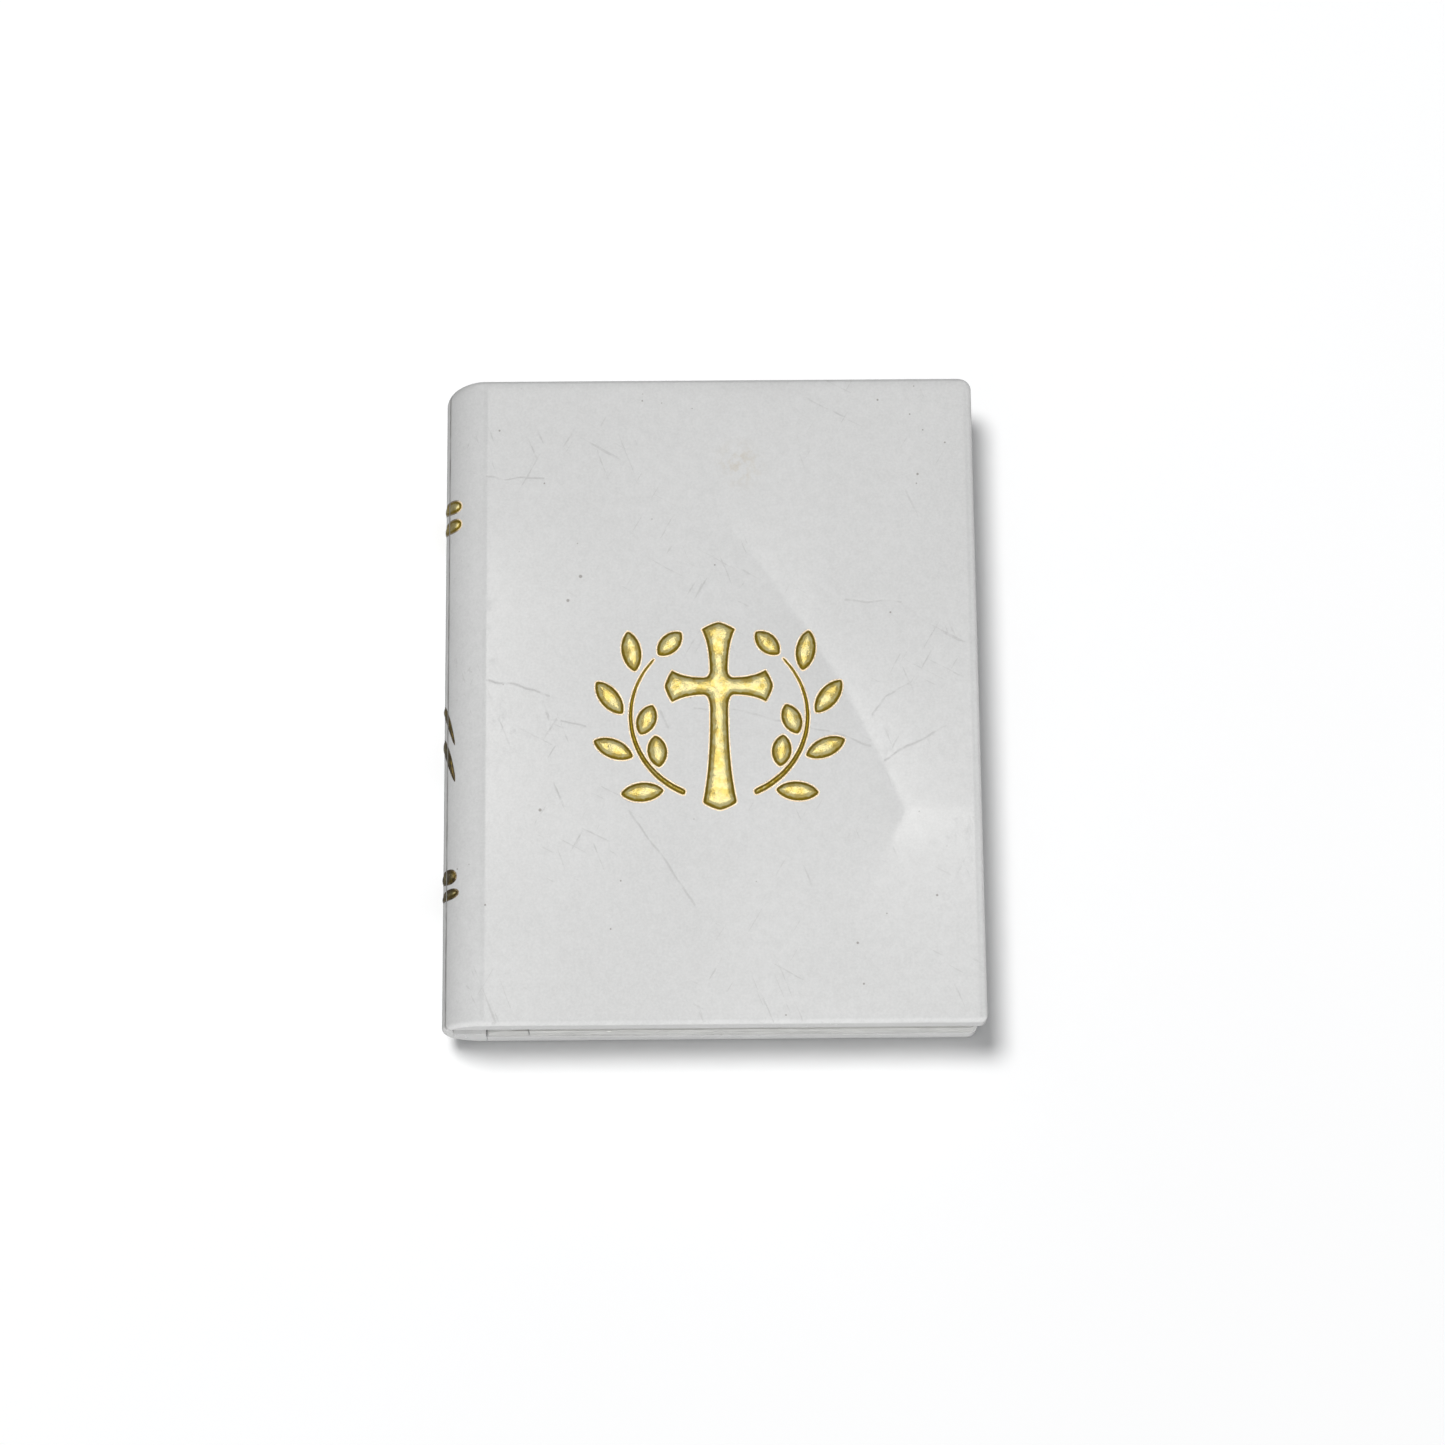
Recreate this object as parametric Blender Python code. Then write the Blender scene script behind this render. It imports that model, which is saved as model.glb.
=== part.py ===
"""A small bible with moulded white covers, a rounded spine and raised gold ornaments.

The book lies on its back cover. +X runs from the spine to the fore-edge, +Y from the tail to the head
and +Z up through the front cover. The origin is the middle of the footprint, on the surface it lies on.
"""

import math

import bmesh
import bpy
from mathutils import Vector

MM = 0.001

# Driving dimensions of the closed book
HEIGHT = 63.5 * MM
WIDTH = 50.8 * MM
THICKNESS = 7.7 * MM

# Covers and spine
EDGE_ROUND = 0.48 * MM
FRONT_CORNER = 0.7 * MM
BACK_CORNER = 0.9 * MM
BACK_COVER_THICKNESS = 2.15 * MM
FINGER_LIP = 0.6 * MM
CREASE_ANGLE = math.radians(26)
CREASE_HALF_GAP = 0.13 * MM
SPINE_WALL = 1.05 * MM
SPINE_LEDGE_HEIGHT = 3.65 * MM
SEAM_FROM_SPINE = 4.1 * MM
FIT_GAP = 0.03 * MM

# Film hinge
FILM_RADIUS = 0.075 * MM
FILM_DEPTH = 0.08 * MM
FILM_END_GAP = 0.5 * MM

# Leaves and papers
PASTE_DOWN = 0.1 * MM
PASTE_DOWN_MARGIN = 1.0 * MM
FLYLEAF = 0.1 * MM
COVER_TO_FLYLEAF = 0.14 * MM
SECTIONS = 8
TURNING_SECTIONS = 5
SECTION_GAP = 0.04 * MM
LEAF_FORE_INSET = 0.05 * MM
LEAF_END_INSET = 0.08 * MM
LEAF_CORNER = 0.85 * MM
LEAF_HINGE_FROM_SPINE = 8.1 * MM
LINING = 0.15 * MM

# Gold relief
SPINE_RELIEF = 0.12 * MM
FRONT_RELIEF = 0.25 * MM
RELIEF_GAP = 0.01 * MM
RELIEF_EDGE = 0.09 * MM
EMBLEM_CENTRE = Vector((0.8 * MM, -2.1 * MM))
CROSS_UP = 5.7 * MM
CROSS_DOWN = 11.5 * MM
CROSS_SIDE = 4.5 * MM
CROSS_RISE = 2.9 * MM
CROSS_WAIST = 0.95 * MM
CROSS_FLARE = 1.75 * MM
CROSS_POINT = 0.8 * MM
SPRAY_HALF_WIDTH = 8.4 * MM
SPRAY_HALF_HEIGHT = 8.2 * MM
STEM_START = math.radians(-68)
STEM_END = math.radians(44)
STEM_THICK = 0.42 * MM
STEM_THIN = 0.22 * MM
LEAFLET_LENGTH = 4.3 * MM
INNER_LEAFLET_LENGTH = 3.4 * MM
LEAFLET_WIDTH = 2.15 * MM
LEAFLET_SPREAD = math.radians(38)
LEAFLET_OFFSET = 0.55 * MM
LEAFLET_GAP = 0.15 * MM

# Smoothness of round stretches
ROUND_STEPS = 14
EDGE_STEPS = 4
CORNER_STEPS = 5
FILM_SIDES = 8
STEM_STEPS = 10
LEAFLET_POINTS = 16
BAND_STEP = math.radians(5)

# Places worked out from the dimensions above
ROUND = THICKNESS / 2
SPINE_X = -WIDTH / 2 + SPINE_RELIEF / 2
FORE_X = WIDTH / 2 + SPINE_RELIEF / 2
BACK_FORE_X = FORE_X - FINGER_LIP
ROUND_X = SPINE_X + ROUND
SEAM_X = SPINE_X + SEAM_FROM_SPINE
HALF_HEIGHT = HEIGHT / 2
CREASE_X = ROUND_X - ROUND * math.cos(CREASE_ANGLE)
CREASE_Z = ROUND + ROUND * math.sin(CREASE_ANGLE)
FRONT_UNDERSIDE = CREASE_Z + CREASE_HALF_GAP
SPINE_TOP = CREASE_Z - CREASE_HALF_GAP
FRONT_PASTE_Z = FRONT_UNDERSIDE - FIT_GAP / 2 - PASTE_DOWN
LEAVES_TOP = FRONT_PASTE_Z - COVER_TO_FLYLEAF
BACK_PASTE_Z = BACK_COVER_THICKNESS + FIT_GAP / 2
LEAVES_BOTTOM = BACK_PASTE_Z + PASTE_DOWN + FIT_GAP
SECTIONS_TOP = LEAVES_TOP - FLYLEAF - SECTION_GAP
SECTION_PITCH = (SECTIONS_TOP - LEAVES_BOTTOM + SECTION_GAP) / SECTIONS
LEAF_HINGE_X = SPINE_X + LEAF_HINGE_FROM_SPINE
LEAF_HINGE_Z = LEAVES_TOP + 0.02 * MM
LEAF_HALF_HEIGHT = HALF_HEIGHT - LEAF_END_INSET
LEAF_FORE_X = BACK_FORE_X - LEAF_FORE_INSET

# Colour, roughness and metallic value of each material
PLASTIC = ((0.80, 0.80, 0.79), 0.28, 0.0)
PAPER = ((0.83, 0.82, 0.79), 0.75, 0.0)
GOLD = ((0.83, 0.62, 0.20), 0.24, 1.0)
LINEN = ((0.62, 0.57, 0.46), 0.85, 0.0)

# Raised ornaments that wrap round the spine: name, height on the book at the middle of the spine
# and at the tip, tip's angle from the middle, half height, and how much it sweeps towards the tip
SPINE_ORNAMENTS = (
    ("top_upper", 19.5, 19.2, 57, 0.96, 1.0),
    ("top_lower", 17.4, 17.4, 57, 0.96, 1.0),
    ("middle_upper", -0.6, -4.5, 46, 1.00, 2.2),
    ("middle_lower", -4.1, -8.0, 47, 1.30, 2.2),
    ("bottom_upper", -17.1, -17.3, 52, 1.00, 1.0),
    ("bottom_lower", -19.0, -18.9, 56, 0.72, 1.0),
)


def clear_scene():
    for item in list(bpy.data.objects):
        bpy.data.objects.remove(item, do_unlink=True)


def make_material(name, finish):
    colour, roughness, metallic = finish
    material = bpy.data.materials.new(name)
    material.use_nodes = True
    shader = material.node_tree.nodes["Principled BSDF"]
    shader.inputs["Base Color"].default_value = (*colour, 1.0)
    shader.inputs["Roughness"].default_value = roughness
    shader.inputs["Metallic"].default_value = metallic
    return material


def add_pivot(name, x, z):
    """Empty on a hinge's axis, which runs along Y."""
    pivot = bpy.data.objects.new(name, None)
    pivot.location = (x, 0.0, z)
    pivot.empty_display_size = 0.005
    bpy.context.collection.objects.link(pivot)
    return pivot


def add_object(name, bm, finish, pivot=None):
    """Turn a bmesh in book coordinates into an object, hung from its pivot if it moves."""
    bmesh.ops.recalc_face_normals(bm, faces=bm.faces)
    if pivot:
        bmesh.ops.translate(bm, verts=bm.verts, vec=-pivot.location)
    mesh = bpy.data.meshes.new(name)
    bm.to_mesh(mesh)
    bm.free()
    mesh.materials.append(make_material(name, finish))
    mesh.shade_smooth()
    mesh.set_sharp_from_angle(angle=math.radians(35))
    item = bpy.data.objects.new(name, mesh)
    bpy.context.collection.objects.link(item)
    item.parent = pivot
    return item


def loft(name, rings, finish, pivot=None):
    """Closed body through matching rings of points, with a flat cap on each end."""
    bm = bmesh.new()
    loops = [[bm.verts.new(point) for point in ring] for ring in rings]
    for near, far in zip(loops, loops[1:]):
        for i in range(len(near)):
            j = (i + 1) % len(near)
            bm.faces.new((near[i], near[j], far[j], far[i]))
    bm.faces.new(loops[0])
    bm.faces.new(loops[-1])
    return add_object(name, bm, finish, pivot)


def edge_inset(distance):
    """How far a rounded face has dropped, this far in from the end of the book."""
    if distance >= EDGE_ROUND:
        return 0.0
    return EDGE_ROUND - math.sqrt(EDGE_ROUND**2 - (EDGE_ROUND - distance) ** 2)


def end_stations(corner):
    """Places along Y as (y, drop of the face, inset of the fore-edge), from tail to head."""
    head = []
    for i in range(CORNER_STEPS + 1):
        angle = math.pi / 2 * i / CORNER_STEPS
        distance = corner * (1 - math.sin(angle))
        head.append((HALF_HEIGHT - distance, edge_inset(distance), corner * (1 - math.cos(angle))))
    tail = [(-y, drop, inset) for y, drop, inset in reversed(head)]
    return tail + head


def spine_arc(radius, start, end):
    """Points (x, z) round the spine, by angle above its middle line."""
    angles = [start + (end - start) * i / ROUND_STEPS for i in range(ROUND_STEPS + 1)]
    return [(ROUND_X - radius * math.cos(a), ROUND + radius * math.sin(a)) for a in angles]


def quarter_round(x, z, direction):
    """Rounded fore-edge whose outer corner is (x, z); direction is +1 for a top face, -1 for a bottom."""
    points = []
    for i in range(EDGE_STEPS + 1):
        angle = math.pi / 2 * i / EDGE_STEPS
        across = x - EDGE_ROUND + EDGE_ROUND * math.sin(angle)
        points.append((across, z - direction * EDGE_ROUND * (1 - math.cos(angle))))
    return points


def at_height(points, y):
    return [(x, y, z) for x, z in points]


def front_cover(pivot):
    rings = []
    for y, drop, inset in end_stations(FRONT_CORNER):
        radius = ROUND - drop
        start = math.asin((FRONT_UNDERSIDE - ROUND) / radius)
        edge = FORE_X - inset
        points = spine_arc(radius, start, math.pi / 2)
        points += quarter_round(edge, THICKNESS - drop, 1)
        points.append((edge, FRONT_UNDERSIDE))
        rings.append(at_height(points, y))
    loft("front_cover", rings, PLASTIC, pivot)


def back_cover():
    rings = []
    left = SEAM_X + FIT_GAP
    for y, drop, inset in end_stations(BACK_CORNER):
        edge = BACK_FORE_X - inset
        points = [(left, drop)]
        points += quarter_round(edge, drop, -1)
        points += [(edge, BACK_COVER_THICKNESS), (left, BACK_COVER_THICKNESS)]
        rings.append(at_height(points, y))
    loft("back_cover", rings, PLASTIC)


def spine_shell():
    rings = []
    for y, drop, _ in end_stations(EDGE_ROUND):
        radius = ROUND - drop
        start = math.asin((SPINE_TOP - ROUND) / radius)
        points = spine_arc(radius, start, -math.pi / 2)
        points += [
            (SEAM_X, drop),
            (SEAM_X, SPINE_LEDGE_HEIGHT),
            (SPINE_X + SPINE_WALL, SPINE_LEDGE_HEIGHT),
            (SPINE_X + SPINE_WALL, SPINE_TOP),
        ]
        rings.append(at_height(points, y))
    loft("spine_shell", rings, PLASTIC)


def hinge_film():
    """Thin strip left between the spine and the front cover, just under the outer surface."""
    centre_x = CREASE_X + FILM_DEPTH * math.cos(CREASE_ANGLE)
    centre_z = CREASE_Z - FILM_DEPTH * math.sin(CREASE_ANGLE)
    circle = []
    for i in range(FILM_SIDES):
        angle = 2 * math.pi * i / FILM_SIDES
        circle.append((centre_x + FILM_RADIUS * math.cos(angle), centre_z + FILM_RADIUS * math.sin(angle)))
    end = HALF_HEIGHT - FILM_END_GAP
    loft("hinge_film", [at_height(circle, y) for y in (-end, end)], PLASTIC)


def sheet_outline(left, right, half_height, corner):
    """Flat sheet with a square spine side and rounded fore-edge corners."""
    arc = []
    for i in range(CORNER_STEPS + 1):
        angle = math.pi / 2 * i / CORNER_STEPS
        x = right - corner * (1 - math.sin(angle))
        y = half_height - corner * (1 - math.cos(angle))
        arc.append((x, y))
    tail = [(x, -y) for x, y in arc]
    return [(left, -half_height)] + tail + list(reversed(arc)) + [(left, half_height)]


def sheet(name, left, right, half_height, low, high, finish, pivot=None):
    outline = sheet_outline(left, right, half_height, LEAF_CORNER)
    rings = [[(x, y, z) for x, y in outline] for z in (low, high)]
    loft(name, rings, finish, pivot)


def paste_downs(cover_pivot):
    """Endpapers glued to the inside of each cover."""
    left = LEAF_HINGE_X
    half = HALF_HEIGHT - PASTE_DOWN_MARGIN
    right = BACK_FORE_X - PASTE_DOWN_MARGIN
    sheet("front_paste_down", left, right, half, FRONT_PASTE_Z, FRONT_PASTE_Z + PASTE_DOWN, PAPER, cover_pivot)
    sheet("back_paste_down", left, right, half, BACK_PASTE_Z, BACK_PASTE_Z + PASTE_DOWN, PAPER)


def leaves(pivot):
    """Flyleaf and sections of leaves; the first ones turn about the fold beside the binding."""
    left = LEAF_HINGE_X + FIT_GAP
    sheet("flyleaf", left, LEAF_FORE_X, LEAF_HALF_HEIGHT, LEAVES_TOP - FLYLEAF, LEAVES_TOP, PAPER, pivot)
    for i in range(SECTIONS):
        high = SECTIONS_TOP - i * SECTION_PITCH
        low = high - SECTION_PITCH + SECTION_GAP
        hung = pivot if i < TURNING_SECTIONS else None
        sheet(f"leaf_section_{i + 1}", left, LEAF_FORE_X, LEAF_HALF_HEIGHT, low, high, PAPER, hung)


def binding_root():
    """Glued spine side of the leaves, which falls away from the front cover towards the spine."""
    left = SEAM_X + FIT_GAP + LINING + FIT_GAP
    right = LEAF_HINGE_X - FIT_GAP
    top = LEAVES_TOP
    points = [
        (left, LEAVES_BOTTOM),
        (right, LEAVES_BOTTOM),
        (right, top),
        (left + 0.64 * (right - left), top - 0.50 * MM),
        (left + 0.30 * (right - left), top - 1.05 * MM),
        (left, top - 1.65 * MM),
    ]
    rings = [at_height(points, y) for y in (-LEAF_HALF_HEIGHT, LEAF_HALF_HEIGHT)]
    loft("binding_root", rings, PAPER)


def spine_lining():
    """Strip of cloth glued down the back of the leaves."""
    left = SEAM_X + FIT_GAP
    right = left + LINING
    top = SPINE_LEDGE_HEIGHT - FIT_GAP
    points = [(left, LEAVES_BOTTOM), (right, LEAVES_BOTTOM), (right, top), (left, top)]
    end = LEAF_HALF_HEIGHT - 1.5 * MM
    loft("spine_lining", [at_height(points, y) for y in (-end, end)], LINEN)


def counter_clockwise(outline):
    area = 0.0
    for a, b in zip(outline, outline[1:] + outline[:1]):
        area += a.x * b.y - b.x * a.y
    return outline if area > 0 else list(reversed(outline))


def shrink(outline, distance):
    """Move each corner of a counter-clockwise outline inwards along its mitre."""
    moved = []
    for before, here, after in zip(outline[-1:] + outline[:-1], outline, outline[1:] + outline[:1]):
        first = (here - before).normalized()
        second = (after - here).normalized()
        inward = Vector((-first.y - second.y, first.x + second.x)).normalized()
        stretch = max(0.5, inward.dot(Vector((-first.y, first.x))))
        moved.append(here + inward * (distance / stretch))
    return moved


def front_relief(name, outline, pivot):
    """Raised gold shape on the flat of the front cover, with a bevelled upper edge."""
    outline = counter_clockwise(outline)
    base = THICKNESS + RELIEF_GAP
    top = THICKNESS + FRONT_RELIEF
    levels = ((base, outline), (top - RELIEF_EDGE, outline), (top, shrink(outline, RELIEF_EDGE)))
    rings = [[(p.x + EMBLEM_CENTRE.x, p.y + EMBLEM_CENTRE.y, z) for p in shape] for z, shape in levels]
    loft(name, rings, GOLD, pivot)


def cross_arm(angle, length):
    """One arm of the cross, flaring to a shallow point, turned to its direction."""
    side = []
    for s in (0.0, 0.4, 0.7, 0.9, 1.0):
        along = CROSS_WAIST + (length - CROSS_WAIST) * s
        side.append(Vector((along, CROSS_WAIST + (CROSS_FLARE - CROSS_WAIST) * s**3)))
    cap = [Vector((length + CROSS_POINT * 0.6, CROSS_FLARE * 0.5)), Vector((length + CROSS_POINT, 0.0))]
    half = side + cap[:1]
    lower = [Vector((p.x, -p.y)) for p in half]
    upper = list(reversed(half))[:-1]
    turned = []
    for p in lower + cap[1:] + upper:
        x = p.x * math.cos(angle) - p.y * math.sin(angle)
        y = p.x * math.sin(angle) + p.y * math.cos(angle)
        turned.append(Vector((x, y + CROSS_RISE)))
    return turned


def cross(pivot):
    arms = ((0, CROSS_SIDE), (90, CROSS_UP), (180, CROSS_SIDE), (270, CROSS_DOWN))
    outline = []
    for degrees, length in arms:
        outline += cross_arm(math.radians(degrees), length)
    front_relief("emblem_cross", outline, pivot)


def stem_point(t):
    return Vector((SPRAY_HALF_WIDTH * math.cos(t), SPRAY_HALF_HEIGHT * math.sin(t)))


def stem_direction(t):
    return Vector((-SPRAY_HALF_WIDTH * math.sin(t), SPRAY_HALF_HEIGHT * math.cos(t))).normalized()


def mirrored(outline, side):
    return [Vector((side * p.x, p.y)) for p in outline]


def stem_outline():
    outer, inner = [], []
    for i in range(STEM_STEPS + 1):
        share = i / STEM_STEPS
        t = STEM_START + (STEM_END - STEM_START) * share
        along = stem_direction(t)
        outward = Vector((along.y, -along.x))
        half = STEM_THICK + (STEM_THIN - STEM_THICK) * share
        outer.append(stem_point(t) + outward * half)
        inner.append(stem_point(t) - outward * half)
    return outer + list(reversed(inner))


def leaflet_outline(base, direction, length):
    across = Vector((-direction.y, direction.x))
    centre = base + direction * (length / 2)
    outline = []
    for i in range(LEAFLET_POINTS):
        t = 2 * math.pi * i / LEAFLET_POINTS
        swell = math.copysign(abs(math.sin(t)) ** 1.35, math.sin(t))
        outline.append(centre + direction * (length / 2 * math.cos(t)) + across * (LEAFLET_WIDTH / 2 * swell))
    return outline


def turned_by(direction, angle):
    x = direction.x * math.cos(angle) - direction.y * math.sin(angle)
    y = direction.x * math.sin(angle) + direction.y * math.cos(angle)
    return Vector((x, y))


def spray_leaflets():
    """Outlines of one spray's leaflets: outer ones, inner ones and the one at the stem's end."""
    outlines = []
    for degrees, side, length in (
        (-56, 1, LEAFLET_LENGTH),
        (-44, -1, INNER_LEAFLET_LENGTH),
        (-28, 1, LEAFLET_LENGTH),
        (-16, -1, INNER_LEAFLET_LENGTH),
        (0, 1, LEAFLET_LENGTH),
        (28, 1, LEAFLET_LENGTH),
    ):
        t = math.radians(degrees)
        along = stem_direction(t)
        outward = Vector((along.y, -along.x)) * side
        direction = turned_by(along, -side * LEAFLET_SPREAD)
        base = stem_point(t) + outward * LEAFLET_OFFSET + direction * LEAFLET_GAP
        outlines.append(leaflet_outline(base, direction, length))
    end = stem_direction(STEM_END)
    outlines.append(leaflet_outline(stem_point(STEM_END) + end * (2 * LEAFLET_GAP), end, INNER_LEAFLET_LENGTH))
    return outlines


def emblem(pivot):
    cross(pivot)
    for label, side in (("left", -1), ("right", 1)):
        front_relief(f"emblem_stem_{label}", mirrored(stem_outline(), side), pivot)
        for i, outline in enumerate(spray_leaflets()):
            front_relief(f"emblem_leaf_{label}_{i + 1}", mirrored(outline, side), pivot)


def ornament_height(angle, tip, half_height):
    """Half height of a spine ornament at this angle from the middle of the spine."""
    share = abs(angle) / tip
    return half_height * (0.5 + 0.5 * share) * math.sqrt(max(0.0, 1 - share**4))


def relief_at(angle):
    """Height of the spine's gold, which dies away at the crease so that the cover can fold back."""
    away = abs(angle - CREASE_ANGLE) * ROUND / MM
    return min(SPINE_RELIEF, (0.06 * away + 0.12 * away**2) * MM)


def ornament_ring(angle, middle_y, half):
    """Section of an ornament at one angle round the spine."""
    low = ROUND + RELIEF_GAP
    high = ROUND + relief_at(angle)
    shoulder = low + 0.6 * (high - low)
    narrow = half * 0.86
    ring = []
    for radius, y in (
        (low, middle_y - half),
        (shoulder, middle_y - half),
        (high, middle_y - narrow),
        (high, middle_y + narrow),
        (shoulder, middle_y + half),
        (low, middle_y + half),
    ):
        ring.append((ROUND_X - radius * math.cos(angle), y, ROUND + radius * math.sin(angle)))
    return ring


def spine_ornament(name, start, end, motif, pivot=None):
    _, middle, tip_y, tip_degrees, half_height, sweep = motif
    tip = math.radians(tip_degrees)
    steps = math.ceil((end - start) / BAND_STEP)
    rings = []
    for i in range(steps + 1):
        angle = start + (end - start) * i / steps
        half = ornament_height(angle, tip, half_height * MM)
        y = (middle + (tip_y - middle) * (abs(angle) / tip) ** sweep) * MM
        rings.append(ornament_ring(angle, y, half))
    loft(name, rings, GOLD, pivot)


def spine_ornaments(cover_pivot):
    """Each ornament is cut by the crease: its tip rides on the front cover, the rest on the spine."""
    bare = 0.3 * MM / ROUND
    for motif in SPINE_ORNAMENTS:
        tip = math.radians(motif[3]) * 0.985
        spine_ornament(f"spine_gold_{motif[0]}", -tip, CREASE_ANGLE - bare, motif)
        spine_ornament(f"cover_gold_{motif[0]}", CREASE_ANGLE + bare, tip, motif, cover_pivot)


def build():
    clear_scene()
    cover_pivot = add_pivot("cover_hinge_axis", CREASE_X, CREASE_Z)
    leaf_pivot = add_pivot("leaf_hinge_axis", LEAF_HINGE_X, LEAF_HINGE_Z)
    bpy.context.view_layer.update()
    back_cover()
    spine_shell()
    hinge_film()
    front_cover(cover_pivot)
    paste_downs(cover_pivot)
    leaves(leaf_pivot)
    binding_root()
    spine_lining()
    emblem(cover_pivot)
    spine_ornaments(cover_pivot)


build()
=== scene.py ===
import math

import bmesh
import bpy
import numpy as np
from mathutils import Matrix, Vector, noise
from mathutils.geometry import delaunay_2d_cdt

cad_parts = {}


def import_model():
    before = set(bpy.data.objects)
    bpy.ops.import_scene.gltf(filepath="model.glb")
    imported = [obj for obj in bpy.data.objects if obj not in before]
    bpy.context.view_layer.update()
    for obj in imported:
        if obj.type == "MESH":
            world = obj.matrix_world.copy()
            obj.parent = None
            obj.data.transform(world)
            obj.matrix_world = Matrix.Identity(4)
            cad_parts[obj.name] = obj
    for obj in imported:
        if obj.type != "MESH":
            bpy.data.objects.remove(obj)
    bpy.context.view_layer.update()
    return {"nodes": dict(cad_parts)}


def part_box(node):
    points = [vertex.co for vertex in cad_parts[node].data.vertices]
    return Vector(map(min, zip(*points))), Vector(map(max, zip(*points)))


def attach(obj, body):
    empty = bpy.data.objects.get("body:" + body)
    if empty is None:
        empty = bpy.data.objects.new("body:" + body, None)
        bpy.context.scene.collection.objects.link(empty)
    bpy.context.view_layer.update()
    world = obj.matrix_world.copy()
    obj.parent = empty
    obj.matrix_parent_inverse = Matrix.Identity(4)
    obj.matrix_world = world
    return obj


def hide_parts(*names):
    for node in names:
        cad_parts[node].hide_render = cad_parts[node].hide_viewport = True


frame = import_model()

MM = 0.001

# ---------------------------------------------------------------- sizes, in millimetres
HALF_HEIGHT = 31.75
THICKNESS = 7.7
ROUND = THICKNESS / 2
SPINE_X = -25.34
FORE_X = 25.46
BACK_FORE_X = 24.86
ROUND_X = SPINE_X + ROUND
SEAM_X = SPINE_X + 4.1
BACK_COVER_LEFT = SEAM_X + 0.03
BACK_COVER_TOP = 2.15

# Rounded edges and corners, and the plain stretches that the meshes have beside them
EDGE_ROUND = 0.48
TAIL_CORNER = 0.7
HEAD_CORNER = 1.2
SPINE_HEAD_CORNER = 1.5
BACK_CORNER = 0.9
NEAR_STRETCH = 0.3
LONG_STRETCH = 8.0

# Wear on sharp edges
FRONT_COVER_WEAR = 0.05
BACK_COVER_WEAR = 0.09
SPINE_WEAR = 0.07
LEAF_WEAR = 0.045

# The crease that the front cover turns on, and the film in it
CREASE_ANGLE = math.radians(26)
CREASE_X = ROUND_X - ROUND * math.cos(CREASE_ANGLE)
CREASE_Z = ROUND + ROUND * math.sin(CREASE_ANGLE)
HALF_CREASE = 0.11
FRONT_UNDERSIDE = CREASE_Z + HALF_CREASE
SPINE_TOP = CREASE_Z - HALF_CREASE
FILM_FOLLOWS_CORNER = 0.9
FILM_SIDES = 12

# Inside of the spine
SPINE_WALL = 1.05
SPINE_LEDGE = 3.65
SPINE_RIGHT = SEAM_X - 0.01

# Leaves
SECTIONS = 8
TURNING_SECTIONS = 5
LEAF_LEFT = SPINE_X + 8.13
LEAF_RIGHT = BACK_FORE_X - 0.05
LEAF_HALF_HEIGHT = HALF_HEIGHT - 0.08
LEAF_CORNER = 0.85
LEAF_FORE_TRIM = 0.03
LEAF_END_TRIM = 0.02
LEAF_UNEVENNESS, UNEVEN_TURN = 0.035, 2.4

# Torn flake at the tail of the leaves: where it is, and its corners from there
CHIP_PLACE = (-9.7, -LEAF_HALF_HEIGHT, 4.42)
CHIP_CORNERS = (
    (-0.32, 0.0, -0.12), (0.36, 0.0, -0.10), (0.05, 0.0, 0.14), (-0.05, -0.13, -0.02), (0.16, -0.10, 0.02),
)
CHIP_FACES = ((0, 1, 4, 3), (1, 2, 4), (2, 0, 3), (2, 3, 4), (0, 2, 1))

# Gold foil over a raised shape: width of the flat rim, heights, how far in the slopes reach, and how the
# gold on the spine gets lower towards the crease
FOIL_RIM = 0.15
FOIL_BASE = 0.012
FOIL_RISE = 0.205
FOIL_SHOULDER = 0.46
FOIL_FULLNESS = 2.1
FOIL_CROWN = 0.034
CROWN_START = 0.35
CROWN_REACH = 0.85
SPINE_FOIL = 0.098
CREASE_SLOPE, CREASE_CURVE = 0.045, 0.085

# Dents in the foil, as (how many in a millimetre, height, seed)
FOIL_DENTS = ((1.25, 0.020, 3.0), (3.1, 0.006, 9.0))
DENT_DEPTH = 0.010

# Spacing of the foil's points: along its edge, in rows beside the rim, and in the middle. The outlines come
# from the CAD nodes, and their corners are cut a little
RIM_SPACING = 0.1
RIM_ROWS = (0.05, 0.10, 0.14, 0.165, 0.21, 0.27, 0.34)
MIDDLE_START = 0.39
EDGE_CLEARANCE = 0.03
UNDERSIDE_TOLERANCE = 0.004
CORNER_CUT = 0.2
EMBLEM_GRID = 0.17
SPINE_GRID = 0.14
EMBLEM_OUTLINE_STEP = 0.06
SPINE_OUTLINE_STEP = 0.05

# Spine ornaments, half of the gap that the crease leaves in each, and how near the cut its ends are
ORNAMENTS = ("top_upper", "top_lower", "middle_upper", "middle_lower", "bottom_upper", "bottom_lower")
HALF_ORNAMENT_GAP = 0.09
CUT_REACH = 0.12

# ---------------------------------------------------------------- marks on the front cover
# Hairline scratches, as runs of (x, y), and how far they wander from them
SCRATCHES = (
    ((-1.5, -1.3), (2.8, -1.7), (6.5, -2.6), (11.3, -3.8), (15.0, -5.1)),
    ((-7.7, -11.3), (-4.6, -15.9), (-1.6, -20.5)),
    ((15.3, -2.2), (16.5, -0.2), (18.9, 1.0)),
    ((16.2, -6.6), (19.7, -4.6), (22.1, -3.2)),
    ((12.9, 9.3), (18.1, 9.0)),
    ((-20.9, 1.6), (-18.0, 0.9), (-15.2, 0.0)),
    ((-15.2, -2.4), (-11.9, -3.0)),
    ((-21.5, 21.8), (-15.7, 21.7)),
    ((-4.6, -1.7), (-3.9, -3.2)),
)
SCRATCH_WIDTH = 0.13
SCRATCH_WANDER = 0.9

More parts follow.
